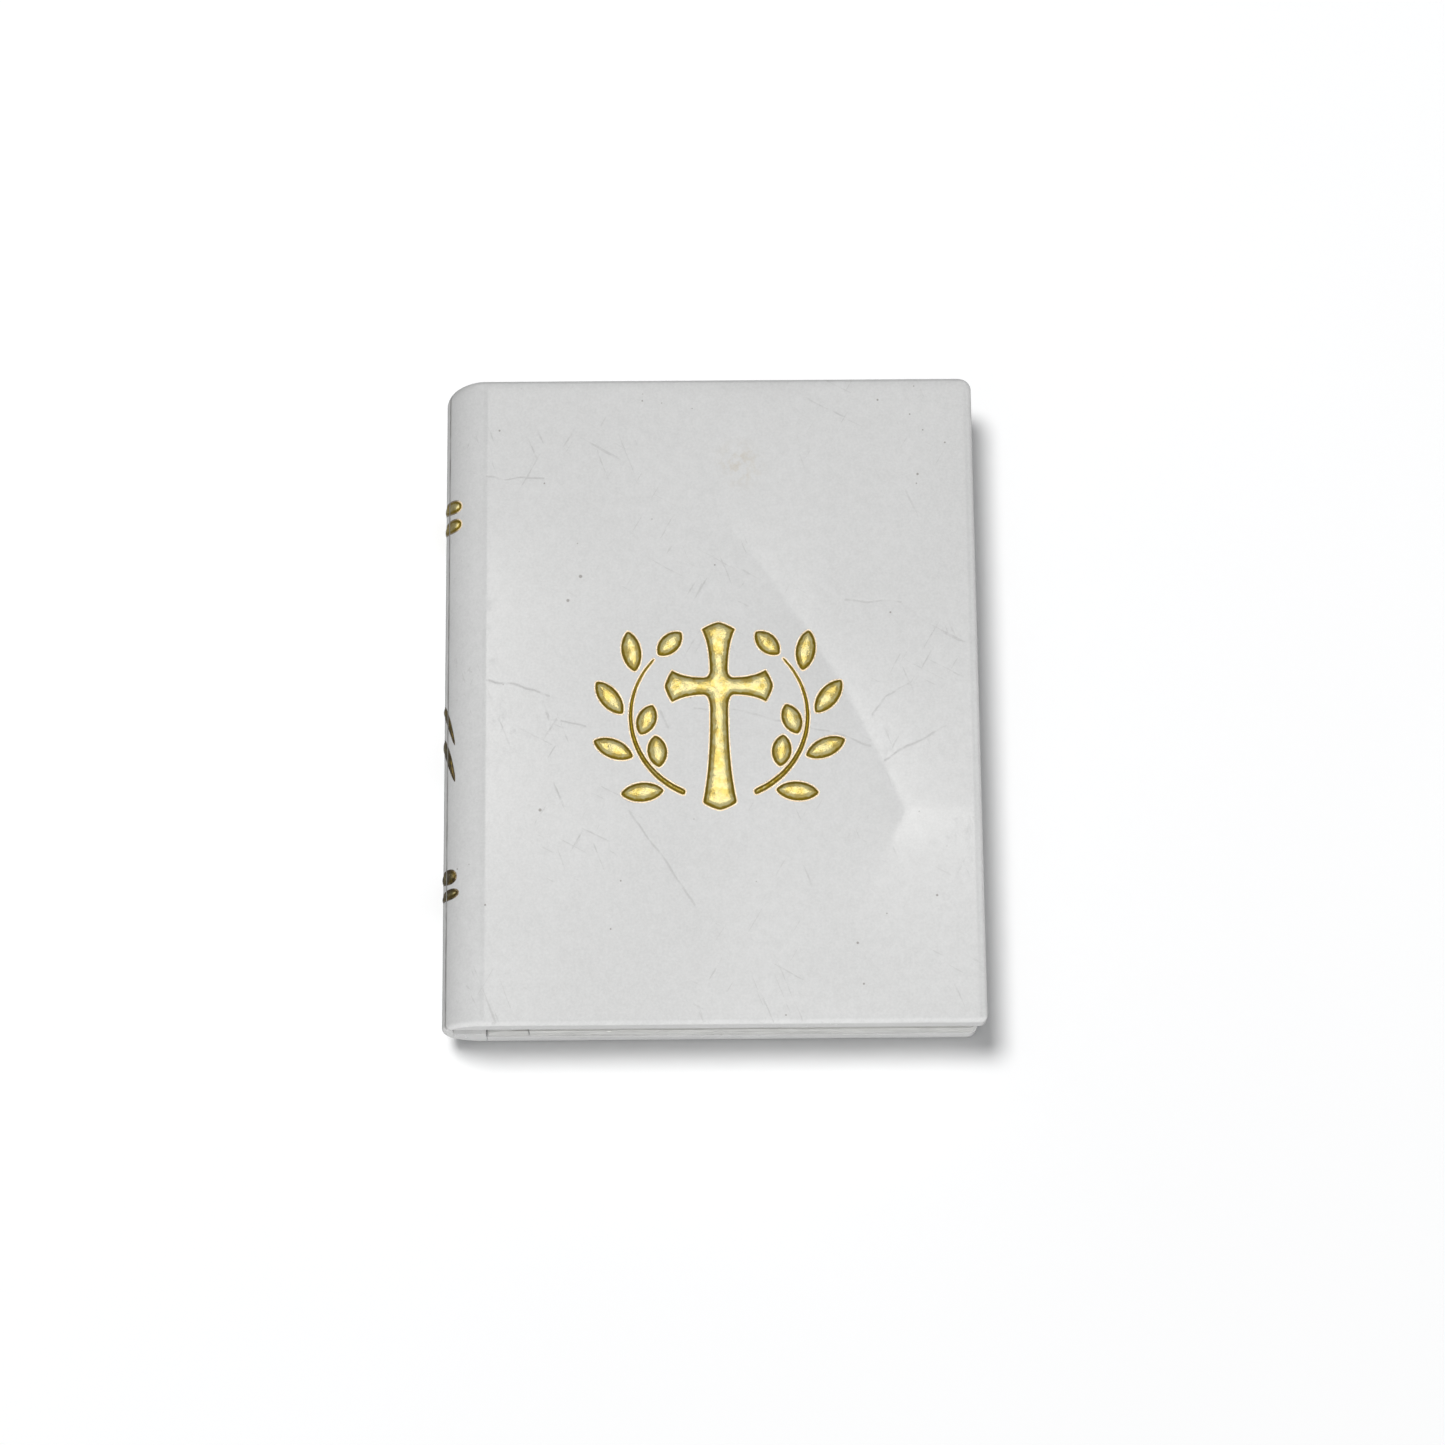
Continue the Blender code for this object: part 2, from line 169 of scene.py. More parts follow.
# Specks of dirt: x, y and radius
SPECKS = (
    (16.4, 29.5, 0.13), (20.7, 26.4, 0.10), (20.1, 21.9, 0.16), (-20.1, 26.6, 0.13), (22.8, 25.1, 0.12),
    (17.2, 8.0, 0.12), (-12.3, 11.8, 0.22), (-13.5, 9.4, 0.20), (-1.9, -0.3, 0.11), (-21.2, -20.3, 0.13),
    (-9.5, -22.7, 0.11), (-16.1, -11.2, 0.20), (13.5, -24.2, 0.16), (14.0, -28.1, 0.13), (21.0, -19.7, 0.15),
)
STAIN_PLACE = (3.0, 23.0, THICKNESS)
# Dark spot on the tail edge of the leaves
DARK_SPOT_PLACE = (-11.1, -31.7, 2.6)

# ---------------------------------------------------------------- camera and lights
# Camera, in millimetres
CAMERA_PLACE = Vector((-2.358, -108.894, 382.850))
CAMERA_AXES = (
    (0.999933, -0.009499, 0.006555),
    (0.007356, 0.962210, 0.272209),
    (-0.008893, -0.272143, 0.962216),
)
LENS = 102.8
SENSOR_WIDTH = 36.0

# Lights, in metres and watts
KEY_PLACE, KEY_SIZE, KEY_POWER = (-0.50, 0.50, 2.0), 0.78, 36.5
TOP_PLACE, TOP_SIZE, TOP_POWER = (0.0, 0.0, 0.50), 0.60, 1.45
FILL_PLACE, FILL_SIZE, FILL_POWER = (0.0, -0.42, 0.26), 0.34, 1.4
GLINT_PLACE, GLINT_SIZE, GLINT_POWER = (-0.40, 0.11, 0.12), 0.22, 0.10
FLOOR_REACH = 4.0

# Room light: its strength near the horizon and overhead, and where the change starts
ROOM_LOW, ROOM_HIGH, ROOM_START = 0.25, 0.50, 0.45

# Card that the front cover mirrors: its height over the book, and the half side that it has on the cover
CARD_HEIGHT = 400.0
CARD_REACH = 0.038
CARD_POWER = 1.0

# Patches of light on the card, in the millimetres of the cover that mirrors it
STRIP_X, STRIP_FADE, STRIP_LIGHT = -20.5, -0.13, 2.0
FACET_X, FACET_SLOPE, FACET_CURVE = 12.86, -0.5408, -0.00666
FACET_RETURN_X, FACET_RETURN_SLOPE = 24.18, 0.52
FACET_FADE, SHADE_FADE, SHADE_DEPTH = -0.3, 0.16, 0.55
LOW_TOP, LOW_LIGHT = -11.0, 1.3


# ---------------------------------------------------------------- materials
class Nodes:
    """Builds one material. Its textures are laid out in millimetres in the book's own frame."""

    def __init__(self, name, **shader):
        self.material = bpy.data.materials.new(name)
        self.material.use_nodes = True
        self.tree = self.material.node_tree
        self.shader = self.tree.nodes["Principled BSDF"]
        for socket, value in shader.items():
            self.put(self.shader, socket, value)
        place = self.add("ShaderNodeTexCoord").outputs["Object"]
        self.place = self.vector("SCALE", place, scale=1 / MM)
        self.x, self.y, self.z = self.split(self.place)

    def put(self, node, socket, value):
        target = node.inputs[socket]
        if isinstance(value, bpy.types.NodeSocket):
            self.tree.links.new(value, target)
        elif target.type == "RGBA":
            target.default_value = (*value, 1.0)
        else:
            target.default_value = value

    def add(self, kind, settings=None, **inputs):
        node = self.tree.nodes.new(kind)
        for key, value in (settings or {}).items():
            setattr(node, key, value)
        for socket, value in inputs.items():
            self.put(node, socket, value)
        return node

    def split(self, vector):
        return self.add("ShaderNodeSeparateXYZ", Vector=vector).outputs

    def math(self, operation, a, b=0.0):
        node = self.add("ShaderNodeMath", {"operation": operation})
        self.put(node, 0, a)
        self.put(node, 1, b)
        return node.outputs[0]

    def combine(self, operation, values):
        result = values[0]
        for value in values[1:]:
            result = self.math(operation, result, value)
        return result

    def product(self, *values):
        return self.combine("MULTIPLY", values)

    def vector(self, operation, a, b=(0.0, 0.0, 0.0), scale=1.0):
        node = self.add("ShaderNodeVectorMath", {"operation": operation})
        self.put(node, 0, a)
        if operation == "SCALE":
            self.put(node, "Scale", scale)
        elif operation != "LENGTH":
            self.put(node, 1, b)
        return node.outputs["Value" if operation in ("LENGTH", "DOT_PRODUCT", "DISTANCE") else "Vector"]

    def fit(self, value, low, high, to_low=0.0, to_high=1.0):
        """Smooth step from to_low, where value is low, to to_high."""
        node = self.add("ShaderNodeMapRange", {"interpolation_type": "SMOOTHSTEP"}, Value=value)
        limits = {"From Min": low, "From Max": high, "To Min": to_low, "To Max": to_high}
        for socket, number in limits.items():
            self.put(node, socket, number)
        return node.outputs["Result"]

    def noise(self, scale, detail=2.0, roughness=0.5, stretch=None):
        at = self.vector("MULTIPLY", self.place, stretch) if stretch else self.place
        inputs = {"Vector": at, "Scale": scale, "Detail": detail, "Roughness": roughness}
        return self.add("ShaderNodeTexNoise", **inputs).outputs["Fac"]

    def cells(self, scale):
        """Distance to the nearest of many scattered points."""
        return self.add("ShaderNodeTexVoronoi", Vector=self.place, Scale=scale).outputs["Distance"]

    def mix(self, factor, a, b):
        node = self.add("ShaderNodeMix", {"data_type": "RGBA"}, Factor=factor)
        self.put(node, 6, a)
        self.put(node, 7, b)
        return node.outputs[2]

    def stain(self, colour, other, *strengths):
        """The colour turned towards another one, as far as the product of the strengths says."""
        return self.mix(self.product(*strengths), colour, other)

    def bump(self, height, distance, normal=None):
        node = self.add("ShaderNodeBump", Height=height, Strength=1.0, Distance=distance * MM)
        if normal is not None:
            self.put(node, "Normal", normal)
        return node.outputs["Normal"]

    def near_run(self, points, width):
        """1 on a thin line through the points, seen from above, and 0 away from it."""
        wander = self.add("ShaderNodeTexNoise", Vector=self.place, Scale=0.35, Detail=1.0).outputs["Color"]
        shifted = self.vector("ADD", self.place, self.vector("SCALE", wander, scale=SCRATCH_WANDER))
        flat = self.vector("MULTIPLY", shifted, (1.0, 1.0, 0.0))
        mean_shift = SCRATCH_WANDER / 2
        near = []
        for (ax, ay), (bx, by) in zip(points, points[1:]):
            along = Vector((bx - ax, by - ay, 0.0))
            length = along.length
            along.normalize()
            offset = self.vector("SUBTRACT", flat, (ax + mean_shift, ay + mean_shift, 0.0))
            reach = self.math("MINIMUM", self.vector("DOT_PRODUCT", offset, tuple(along)), length)
            reach = self.math("MAXIMUM", reach, 0.0)
            foot = self.vector("SCALE", tuple(along), scale=reach)
            near.append(self.vector("DISTANCE", offset, foot))
        return self.fit(self.combine("MINIMUM", near), width, width * 0.3)

    def near_spot(self, x, y, radius):
        return self.fit(self.vector("DISTANCE", self.place, (x, y, THICKNESS)), radius, radius * 0.5)


def hairlines(n, turn, scale, threshold):
    """Fine, nearly straight random scratches that run one way."""
    turned = n.add("ShaderNodeVectorRotate", Vector=n.place, Angle=turn).outputs[0]
    stretched = n.vector("MULTIPLY", turned, (0.05, 1.0, 1.0))
    inputs = {"Vector": stretched, "Scale": scale, "Detail": 3.0, "Distortion": 0.15}
    fibres = n.add("ShaderNodeTexNoise", **inputs).outputs["Fac"]
    patches = n.fit(n.noise(0.11, 1.0), 0.5, 0.62)
    return n.product(n.fit(fibres, threshold, threshold + 0.02), patches)


def plastic(name, marked=False, painted_lift=1.0):
    """Glossy white moulded plastic, a little wavy, with scuffs, specks and hairline scratches. Painted shade
    darkens it along the crease, and a factor above 1 brightens its whole colour as painted light.
    """
    n = Nodes(name, IOR=1.52)
    # Both tones are scaled by the painted brightening factor
    darker = (0.588 * painted_lift, 0.588 * painted_lift, 0.583 * painted_lift)
    lighter = (0.624 * painted_lift, 0.624 * painted_lift, 0.619 * painted_lift)
    mottled, pale = (0.52, 0.52, 0.515), (0.80, 0.80, 0.79)
    brown, scratched = (0.52, 0.46, 0.36), (0.30, 0.29, 0.28)
    dirt_and_shade, crease_shade = (0.20, 0.18, 0.16), (0.16, 0.15, 0.14)

    colour = n.mix(n.fit(n.noise(0.06), 0.3, 0.7), darker, lighter)
    colour = n.mix(n.fit(n.noise(0.9, 5.0, 0.62), 0.32, 0.68, 0.0, 0.32), colour, mottled)
    colour = n.mix(n.fit(n.noise(4.0, 4.0, 0.75), 0.3, 0.7, 0.0, 0.26), colour, pale)
    specks = [n.product(n.fit(n.cells(0.7), 0.075, 0.04), n.fit(n.noise(0.5, 1.0), 0.60, 0.66))]
    lines = [hairlines(n, 0.5, 2.6, 0.67), hairlines(n, 2.1, 2.9, 0.675), hairlines(n, 1.2, 2.3, 0.67)]
    if marked:
        lines += [n.near_run(run, SCRATCH_WIDTH) for run in SCRATCHES]
        specks += [n.near_spot(*speck) for speck in SPECKS]
        around = n.fit(n.vector("DISTANCE", n.place, STAIN_PLACE), 3.2, 0.2)
        colour = n.stain(colour, brown, around, n.fit(n.noise(1.1, 4.0, 0.7), 0.42, 0.66), 0.5)
    broken = n.fit(n.noise(0.9, 3.0), 0.35, 0.6, 0.25, 1.0)
    scratch = n.product(n.combine("MAXIMUM", lines), broken)
    colour = n.stain(colour, scratched, scratch, 0.30)
    colour = n.stain(colour, dirt_and_shade, n.combine("MAXIMUM", specks), 0.7)
    # Painted shade: the colour is darkened in patches close to the crease, where shade falls between cover and
    # spine
    from_crease = n.vector("SUBTRACT", n.place, (CREASE_X, 0.0, CREASE_Z))
    beside = n.vector("LENGTH", n.vector("MULTIPLY", from_crease, (1.0, 0.0, 1.0)))
    patchy = n.fit(n.noise(0.8, 4.0), 0.25, 0.6, 0.35, 0.75)
    colour = n.stain(colour, crease_shade, n.fit(beside, 0.24, 0.10), patchy)
    n.put(n.shader, "Base Color", colour)

    scuffed = n.fit(n.noise(0.12), 0.42, 0.62, 0.1, 1.0)
    scuffs = n.product(n.fit(n.noise(1.5, 6.0, 0.75), 0.52, 0.64), scuffed)
    rough = n.fit(scuffs, 0.0, 1.0, 0.02, 0.24)
    n.put(n.shader, "Roughness", n.math("ADD", rough, n.product(scratch, 0.3)))
    wave = n.bump(n.noise(0.12, 1.0), 0.0015)
    peel = n.bump(n.noise(1.1, 3.0, 0.6), 0.0003, wave)
    n.put(n.shader, "Normal", n.bump(n.math("SUBTRACT", 1.0, scratch), 0.006, peel))
    return n.material


def gold():
    """Hot-stamped foil: pale on the rim, mottled on top, tarnished on the spine, and dark olive on the shoulder
    as painted shade.
    """
    n = Nodes("gold foil", Metallic=1.0)
    deep_top, bright_top = (0.86, 0.66, 0.19), (1.0, 0.88, 0.43)
    wall_shade_deep, wall_shade_light = (0.46, 0.30, 0.012), (0.66, 0.47, 0.06)
    pale_rim, warm_rim = (0.95, 0.82, 0.64), (0.86, 0.68, 0.46)
    worn, tarnished = (0.80, 0.72, 0.58), (0.12, 0.09, 0.05)

    edge = n.add("ShaderNodeAttribute", {"attribute_name": "edge_mm"}).outputs["Fac"]
    mottle = n.noise(1.1, 4.0, 0.60)
    fine = n.noise(9.0, 3.0, 0.6)
    top = n.mix(n.fit(mottle, 0.36, 0.60), deep_top, bright_top)
    wall = n.mix(n.fit(fine, 0.3, 0.7), wall_shade_deep, wall_shade_light)
    rim = n.mix(n.fit(fine, 0.35, 0.65), pale_rim, warm_rim)
    ragged = n.math("ADD", edge, n.fit(n.noise(2.6), 0.2, 0.8, -0.07, 0.07))
    # Painted shade: the slopes of the relief get a dark olive colour
    colour = n.mix(n.fit(ragged, 0.30, 0.44), wall, top)
    colour = n.mix(n.fit(edge, 0.11, 0.15), rim, colour)
    rubbed = n.fit(n.noise(1.15, 5.0, 0.75), 0.66, 0.72)
    colour = n.stain(colour, worn, rubbed, n.fit(edge, 0.2, 0.35), 0.6)
    on_round, to_tail = n.fit(n.x, -20.5, -22.0), n.fit(n.y, 12.0, -2.0, 0.15, 0.95)
    colour = n.stain(colour, tarnished, on_round, to_tail, n.fit(n.noise(2.4, 4.0, 0.7), 0.35, 0.6, 0.5, 1.0))
    n.put(n.shader, "Base Color", colour)
    n.put(n.shader, "Roughness", n.fit(mottle, 0.3, 0.7, 0.12, 0.22))
    n.put(n.shader, "Normal", n.bump(fine, 0.008, n.bump(mottle, 0.022)))
    return n.material


def paper(name, tint, has_leaves):
    """White paper. Cut edges of leaves show fine lines of painted shade between the leaves, a dark spot and a
    band of painted shade along their top; those of endpapers are in shade.
    """
    n = Nodes(name, Roughness=0.7)
    darker = tuple(0.9 * value for value in tint)
    yellowed, leaf_gap_shade, shade_grey = (0.55, 0.54, 0.50), (0.30, 0.29, 0.27), (0.20, 0.19, 0.18)
    dirt_and_shade, spot_dark = (0.16, 0.155, 0.14), (0.12, 0.11, 0.10)

    fibre = n.noise(5.0, 4.0, 0.65)
    colour = n.mix(n.fit(n.noise(0.5, 4.0, 0.6), 0.3, 0.7), darker, tint)
    colour = n.mix(n.fit(fibre, 0.35, 0.75, 0.0, 0.12), colour, yellowed)
    facing = n.split(n.add("ShaderNodeTexCoord").outputs["Normal"])["Z"]
    side = n.fit(n.math("ABSOLUTE", facing), 0.7, 0.3)
    if has_leaves:
        leaves = n.noise(13.0, 2.0, 0.6, stretch=(0.012, 0.012, 1.0))
        gaps = n.product(n.fit(leaves, 0.50, 0.60), side)
        # Painted shade in the gaps between the leaves, as fine dark lines on the cut edges
        colour = n.stain(colour, leaf_gap_shade, gaps, 0.28)
        # Painted shade: a dark band along the top of the leaves' cut edges, under the front cover
        colour = n.stain(colour, dirt_and_shade, n.fit(n.z, 4.52, 4.66), side, 0.78)
        # A small dark spot on the tail edge of the leaves
        spot_offset = n.vector("MULTIPLY", n.vector("SUBTRACT", n.place, DARK_SPOT_PLACE), (2.0, 1.0, 7.0))
        colour = n.stain(colour, spot_dark, n.fit(n.vector("LENGTH", spot_offset), 1.0, 0.6), 0.7)
        height = n.math("ADD", fibre, n.product(gaps, -1.5))
    else:
        colour = n.stain(colour, shade_grey, side, 0.62)
        height = fibre
    n.put(n.shader, "Base Color", colour)
    n.put(n.shader, "Normal", n.bump(height, 0.02))
    return n.material


def linen():
    """Open weave of the strip that is glued over the back of the leaves."""
    n = Nodes("lining cloth", Roughness=0.85)
    gap, thread, glued = (0.50, 0.48, 0.43), (0.70, 0.68, 0.63), (0.72, 0.70, 0.64)
    warp, weft = (n.math("ABSOLUTE", n.math("SINE", n.product(along, 14.0))) for along in (n.y, n.z))
    weave = n.product(warp, weft)
    colour = n.mix(weave, gap, thread)
    n.put(n.shader, "Base Color", n.mix(n.fit(n.noise(0.9, 3.0), 0.45, 0.6, 0.0, 0.5), colour, glued))
    n.put(n.shader, "Normal", n.bump(weave, 0.03))
    return n.material


def bent_plastic():
    """The cover's plastic where it bends: thin and streaky, with its whole colour darkened as painted shade in
    the crease.
    """
    n = Nodes("hinge plastic", Roughness=0.4)
    dirt_and_shade, whitened = (0.24, 0.235, 0.225), (0.42, 0.415, 0.41)
    streak = n.noise(2.2, 3.0, stretch=(1.0, 0.2, 1.0))
    # Both colours are dark grey: painted shade in the crease
    n.put(n.shader, "Base Color", n.mix(n.fit(streak, 0.35, 0.7), dirt_and_shade, whitened))
    n.put(n.shader, "Normal", n.bump(streak, 0.01))
    return n.material


def floor_paper():
    n = Nodes("floor", Roughness=0.8)
    n.put(n.shader, "Base Color", n.mix(n.noise(0.02), (0.91, 0.91, 0.91), (0.93, 0.93, 0.93)))
    return n.material


# ---------------------------------------------------------------- meshes
def add_mesh(name, points, faces, material, body, nodes, smooth_angle=35):
    """A piece made of points in millimetres. It rides on a body and stands for the CAD nodes."""
    mesh = bpy.data.meshes.new(name)
    mesh.from_pydata([tuple(c * MM for c in p) for p in points], [], faces)
    mesh.materials.append(material)
    piece = bpy.data.objects.new(name, mesh)
    bpy.context.collection.objects.link(piece)
    bm = bmesh.new()
    bm.from_mesh(mesh)
    bmesh.ops.recalc_face_normals(bm, faces=bm.faces)
    bm.to_mesh(mesh)
    bm.free()
    mesh.shade_smooth()
    mesh.set_sharp_from_angle(angle=math.radians(smooth_angle))
    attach(piece, body)
    if nodes:
        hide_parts(*nodes)
    return piece


def soften(piece, width):
    """Small round on every sharp edge."""
    bevel = piece.modifiers.new("worn edges", "BEVEL")
    bevel.width = width * MM
    bevel.segments = 2
    bevel.limit_method = "ANGLE"
    bevel.angle_limit = math.radians(40)
    bevel.harden_normals = True


def loft(name, rings, material, body, node, wear):
    """Closed piece through rings of points, with both ends filled."""
    points = [p for ring in rings for p in ring]
    count = len(rings[0])
    faces = []
    for k in range(len(rings) - 1):
        for i in range(count):
            j = (i + 1) % count
            faces.append((k * count + i, k * count + j, (k + 1) * count + j, (k + 1) * count + i))
    last = (len(rings) - 1) * count
    faces.append(tuple(range(count)))
    faces.append(tuple(range(last, last + count)))
    piece = add_mesh(name, points, faces, material, body, [node])
    if wear:
        soften(piece, wear)


def quarter_turn(steps):
    """Angles from 0 to 90 degrees."""
    return [math.pi / 2 * i / steps for i in range(steps + 1)]


def turn_in(distance, radius):
    """How far a rounded corner has turned in, this far from the end."""
    if distance >= radius:
        return 0.0
    return radius - math.sqrt(radius**2 - (radius - distance) ** 2)


def end_stations(tail_corner, head_corner, spine_corner=0.0):
    """(y, drop of the face, inset of the fore-edge, inset of the spine) from tail to head."""
    stations = []
    for end, corner, spine in ((-1, tail_corner, 0.0), (1, head_corner, spine_corner)):
        reach = max(corner, spine, EDGE_ROUND)
        distances = [reach + LONG_STRETCH, reach + NEAR_STRETCH]
        distances += [reach * (1 - math.sin(angle)) for angle in quarter_turn(18)]
        run = []
        for distance in distances:
            turns = [turn_in(distance, radius) for radius in (EDGE_ROUND, corner, spine)]
            run.append((end * (HALF_HEIGHT - distance), *turns))
        stations += run if end > 0 else run[::-1]
    return stations


def spine_arc(drop, start_height, end, inset, steps=44):
    """The round of the spine in (x, z), from a height to an angle."""
    radius = ROUND - drop
    start = math.asin((start_height - ROUND) / radius)
    angles = [start + (end - start) * i / steps for i in range(steps + 1)]
    return [(ROUND_X - (radius - inset) * math.cos(a), ROUND + radius * math.sin(a)) for a in angles]


def quarter_round(x, z, direction):
    points = []
    for angle in quarter_turn(10):
        across = x - EDGE_ROUND + EDGE_ROUND * math.sin(angle)
        points.append((across, z - direction * EDGE_ROUND * (1 - math.cos(angle))))
    return points


def at_height(profile, y):
    return [(x, y, z) for x, z in profile]


def front_cover(material):
    rings = []
    for y, drop, inset, spine in end_stations(TAIL_CORNER, HEAD_CORNER, SPINE_HEAD_CORNER):
        top = THICKNESS - drop
        edge = FORE_X - inset
        profile = spine_arc(drop, FRONT_UNDERSIDE, math.pi / 2, spine)
        profile += [(ROUND_X + NEAR_STRETCH, top), (edge - EDGE_ROUND - NEAR_STRETCH, top)]
        profile += quarter_round(edge, top, 1)
        profile.append((edge, FRONT_UNDERSIDE))
        rings.append(at_height(profile, y))
    loft("front_cover_shell", rings, material, "cover", "front_cover", FRONT_COVER_WEAR)


def back_cover(material):
    rings = []
    left = BACK_COVER_LEFT
    for y, drop, inset, _ in end_stations(BACK_CORNER, BACK_CORNER):
        edge = BACK_FORE_X - inset
        profile = [(left, drop), (left + NEAR_STRETCH, drop), (edge - EDGE_ROUND - NEAR_STRETCH, drop)]
        profile += quarter_round(edge, drop, -1)
        profile += [(edge, BACK_COVER_TOP), (left, BACK_COVER_TOP)]
        rings.append(at_height(profile, y))
    loft("back_cover_shell", rings, material, "book", "back_cover", BACK_COVER_WEAR)


def spine_shell(material):
    rings = []
    for y, drop, _, spine in end_stations(EDGE_ROUND, EDGE_ROUND, SPINE_HEAD_CORNER):
        wall = SPINE_X + SPINE_WALL + spine
        profile = spine_arc(drop, SPINE_TOP, -math.pi / 2, spine)
        profile += [(SPINE_RIGHT, drop), (SPINE_RIGHT, SPINE_LEDGE), (wall, SPINE_LEDGE), (wall, SPINE_TOP)]
        rings.append(at_height(profile, y))
    loft("spine_shell_fine", rings, material, "book", "spine_shell", SPINE_WEAR)


def hinge_film(material):
    """The film follows the crease round the spine's head corner."""
    low, high = (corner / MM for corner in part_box("hinge_film"))
    middle, radius = (low + high) / 2, (high.x - low.x) / 2
    turns = [2 * math.pi * i / FILM_SIDES for i in range(FILM_SIDES)]
    rings = []
    for y, _, _, spine in end_stations(EDGE_ROUND, EDGE_ROUND, SPINE_HEAD_CORNER):
        if low.y <= y <= high.y:
            x = middle.x + FILM_FOLLOWS_CORNER * spine
            profile = [(x + radius * math.cos(a), middle.z + radius * math.sin(a)) for a in turns]
            rings.append(at_height(profile, y))
    loft("hinge_film_fine", rings, material, "book", "hinge_film", 0)


def sheet_outline(left, right, half_height):
    arc = []
    for angle in quarter_turn(10):
        x = right - LEAF_CORNER * (1 - math.sin(angle))
        arc.append((x, half_height - LEAF_CORNER * (1 - math.cos(angle))))
    tail = [(x, -y) for x, y in arc]
    return [(left, -half_height)] + tail + arc[::-1] + [(left, half_height)]


def leaf_section(number, material):
    """Folded section, with a slightly uneven cut edge."""
    name = f"leaf_section_{number}"
    body = name + "_body" if number <= TURNING_SECTIONS else "book"
    low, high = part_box(name)
    shift = LEAF_UNEVENNESS * math.sin(number * UNEVEN_TURN)
    right = LEAF_RIGHT + shift - LEAF_FORE_TRIM
    outline = sheet_outline(LEAF_LEFT, right, LEAF_HALF_HEIGHT - LEAF_END_TRIM)
    rings = [[(x, y + 0.5 * shift, z / MM) for x, y in outline] for z in (low.z, high.z)]
    loft(name + "_fine", rings, material, body, name, LEAF_WEAR)


def paper_chip(material):
    """Torn white flake that stands out of the tail edge of the leaves."""
    points = [tuple(a + b for a, b in zip(CHIP_PLACE, corner)) for corner in CHIP_CORNERS]
    add_mesh("leaf_chip", points, CHIP_FACES, material, "leaf_section_3_body", [])


# ---------------------------------------------------------------- gold relief
def underside_outline(node):
    """The outline of a CAD node's underside, in order, in millimetres."""
    mesh = frame["nodes"][node].data
    places = [tuple(round(c / MM, 3) for c in v.co) for v in mesh.vertices]
    base = min(p[2] for p in places)
    open_edges = {}
    for face in mesh.polygons:
        corners = [places[i] for i in face.vertices]
        if all(abs(c[2] - base) < UNDERSIDE_TOLERANCE for c in corners):
            for a, b in zip(corners, corners[1:] + corners[:1]):
                if (b[:2], a[:2]) in open_edges:
                    del open_edges[b[:2], a[:2]]
                else:
                    open_edges[a[:2], b[:2]] = True
    following = dict(open_edges.keys())
    start = next(iter(following))
    loop = [start]
    while following[loop[-1]] != start:
        loop.append(following[loop[-1]])
    return np.array(loop)


def rounded(outline):
    """Cuts the corners of a closed outline, twice."""
    stay = 1 - CORNER_CUT
    for _ in range(2):
        after = np.roll(outline, -1, axis=0)
        pair = [stay * outline + CORNER_CUT * after, CORNER_CUT * outline + stay * after]
        outline = np.stack(pair, 1).reshape(-1, 2)
    return outline


def evenly(outline, spacing):
    """The same closed outline with points at an even spacing."""
    closed = np.vstack([outline, outline[:1]])
    steps = np.linalg.norm(np.diff(closed, axis=0), axis=1)
    along = np.concatenate([[0.0], np.cumsum(steps)])
    wanted = np.linspace(0.0, along[-1], max(12, int(along[-1] / spacing)) + 1)[:-1]
    return np.stack([np.interp(wanted, along, closed[:, k]) for k in range(2)], 1)


def distance_to(points, outline):
    """Distance from each point to the closed outline."""
    a = outline[None, :, :]
    d = np.roll(outline, -1, axis=0)[None, :, :] - a
    w = points[:, None, :] - a
    t = np.clip((w * d).sum(2) / np.maximum((d * d).sum(2), 1e-12), 0, 1)
    return np.linalg.norm(w - t[..., None] * d, axis=2).min(1)


def inside(points, outline):
    """True for each point inside the closed outline."""
    x, y = points[:, :1], points[:, 1:]
    ax, ay = outline[:, 0][None], outline[:, 1][None]
    bx, by = np.roll(outline[:, 0], -1)[None], np.roll(outline[:, 1], -1)[None]
    crosses = (ay > y) != (by > y)
    at = ax + (y - ay) / np.where(by == ay, 1e-12, by - ay) * (bx - ax)
    return (crosses & (x < at)).sum(1) % 2 == 1


def signed_area(outline):
    after = np.roll(outline, -1, axis=0)
    return 0.5 * (outline[:, 0] * after[:, 1] - after[:, 0] * outline[:, 1]).sum()


def foil_points(outline, rim, grid):
    """Points over an outline: along its edge, and in rows beside the rim and on a grid in the middle."""
    edge = evenly(outline, RIM_SPACING)
    if signed_area(rim) < 0:
        rim = rim[::-1]
    along = evenly(rim, RIM_SPACING)
    tangent = np.roll(along, -1, axis=0) - np.roll(along, 1, axis=0)
    tangent /= np.maximum(np.linalg.norm(tangent, axis=1, keepdims=True), 1e-9)
    inward = np.stack([-tangent[:, 1], tangent[:, 0]], 1)
    found = []
    for reach in RIM_ROWS:
        row = along + inward * reach
        found.append(row[distance_to(row, rim) > 0.95 * reach])
    low, high = outline.min(0), outline.max(0)
    xs = np.arange(low[0], high[0], grid)
    ys = np.arange(low[1], high[1], grid)
    middle = np.stack(np.meshgrid(xs, ys), -1).reshape(-1, 2)
    middle[:, 0] += (np.round((middle[:, 1] - low[1]) / grid) % 2) * grid / 2
    found.append(middle[distance_to(middle, rim) > MIDDLE_START])
    rest = np.vstack(found)
    rest = rest[inside(rest, outline)]
    return edge, rest[distance_to(rest, outline) > EDGE_CLEARANCE]


